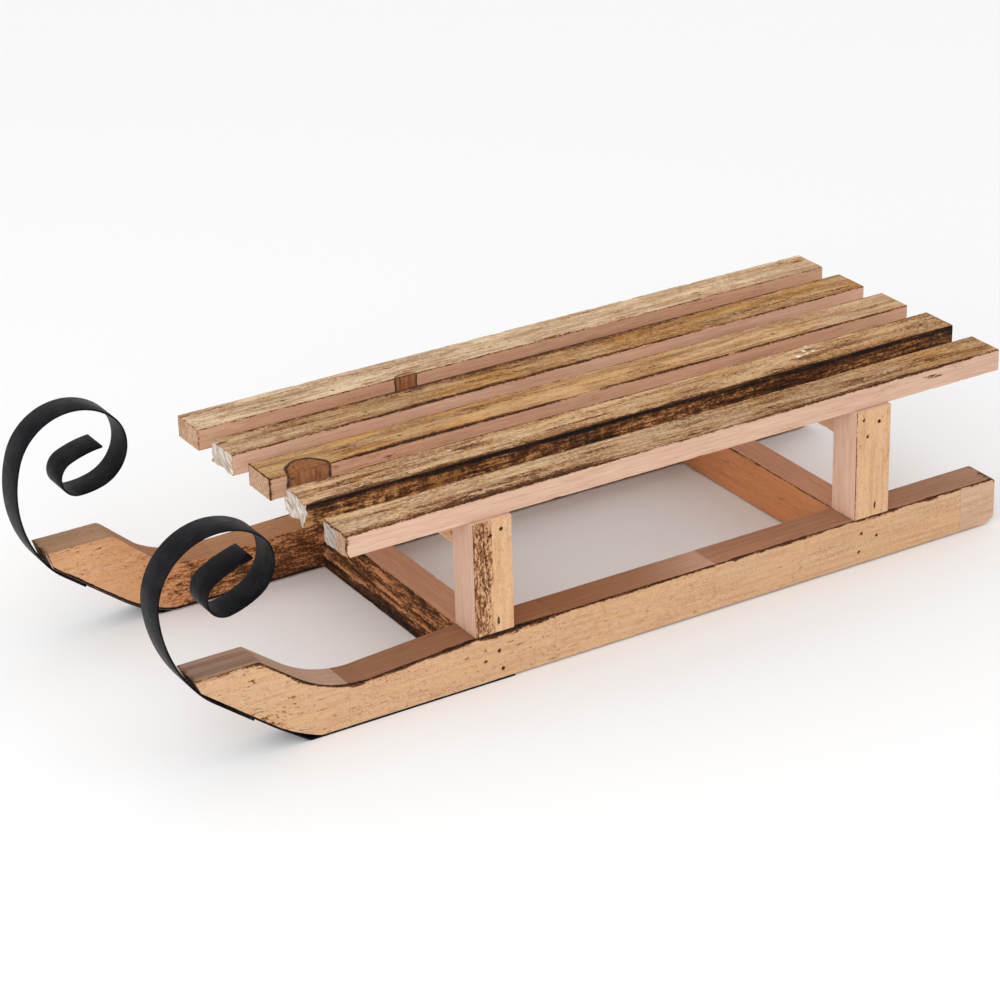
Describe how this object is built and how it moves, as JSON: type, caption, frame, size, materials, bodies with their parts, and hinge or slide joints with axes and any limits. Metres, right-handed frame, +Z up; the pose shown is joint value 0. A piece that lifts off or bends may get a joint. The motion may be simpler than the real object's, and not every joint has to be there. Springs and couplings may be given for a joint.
{
  "type": "wooden toboggan",
  "caption": "Small decorative wooden sledge: slatted seat on low uprights, two solid runners, and black steel strips that roll up into scrolls at the front.",
  "frame": {"origin": "middle of the bounding box, on the ground under the runners' steel shoes", "axes": "-Y is forward, the way a rider faces; +Y is backwards, along the slats; +X is the rider's left; +Z is up"},
  "size_m": [0.18, 0.5041, 0.1269],
  "materials": {
    "slat_wood": "sawn softwood, oiled, scorched along its edges",
    "frame_wood": "sawn softwood, oiled and lightly scorched",
    "runner_wood": "sawn softwood glued up from blocks, oiled and scorched along its edges",
    "black_steel": "satin black lacquer",
    "brad_steel": "dulled by the wood stain",
    "tack_steel": "darkened"
  },
  "bodies": {
    "root": {"front_crossbar_brads": "brad_steel", "front_left_upright": "frame_wood", "front_lower_crossbar": "frame_wood", "front_right_upright": "frame_wood", "front_seat_bearer": "frame_wood", "front_slat_brads": "brad_steel", "front_upright_brads": "brad_steel", "left_runner_front_block": "runner_wood", "left_runner_middle_block": "runner_wood", "left_runner_nose_block": "runner_wood", "left_runner_rear_block": "runner_wood", "left_runner_tail_block": "runner_wood", "left_scroll_strip": "black_steel", "left_shoe_strip": "black_steel", "left_strip_tacks": "tack_steel", "rear_crossbar_brads": "brad_steel", "rear_left_upright": "frame_wood", "rear_lower_crossbar": "frame_wood", "rear_right_upright": "frame_wood", "rear_seat_bearer": "frame_wood", "rear_slat_brads": "brad_steel", "rear_upright_brads": "brad_steel", "right_runner_front_block": "runner_wood", "right_runner_middle_block": "runner_wood", "right_runner_nose_block": "runner_wood", "right_runner_rear_block": "runner_wood", "right_runner_tail_block": "runner_wood", "right_scroll_strip": "black_steel", "right_shoe_strip": "black_steel", "right_strip_tacks": "tack_steel", "seat_slat_1": "slat_wood", "seat_slat_2": "slat_wood", "seat_slat_3": "slat_wood", "seat_slat_4": "slat_wood", "seat_slat_5": "slat_wood", "toe_brads": "brad_steel"}
  },
  "joints": []
}
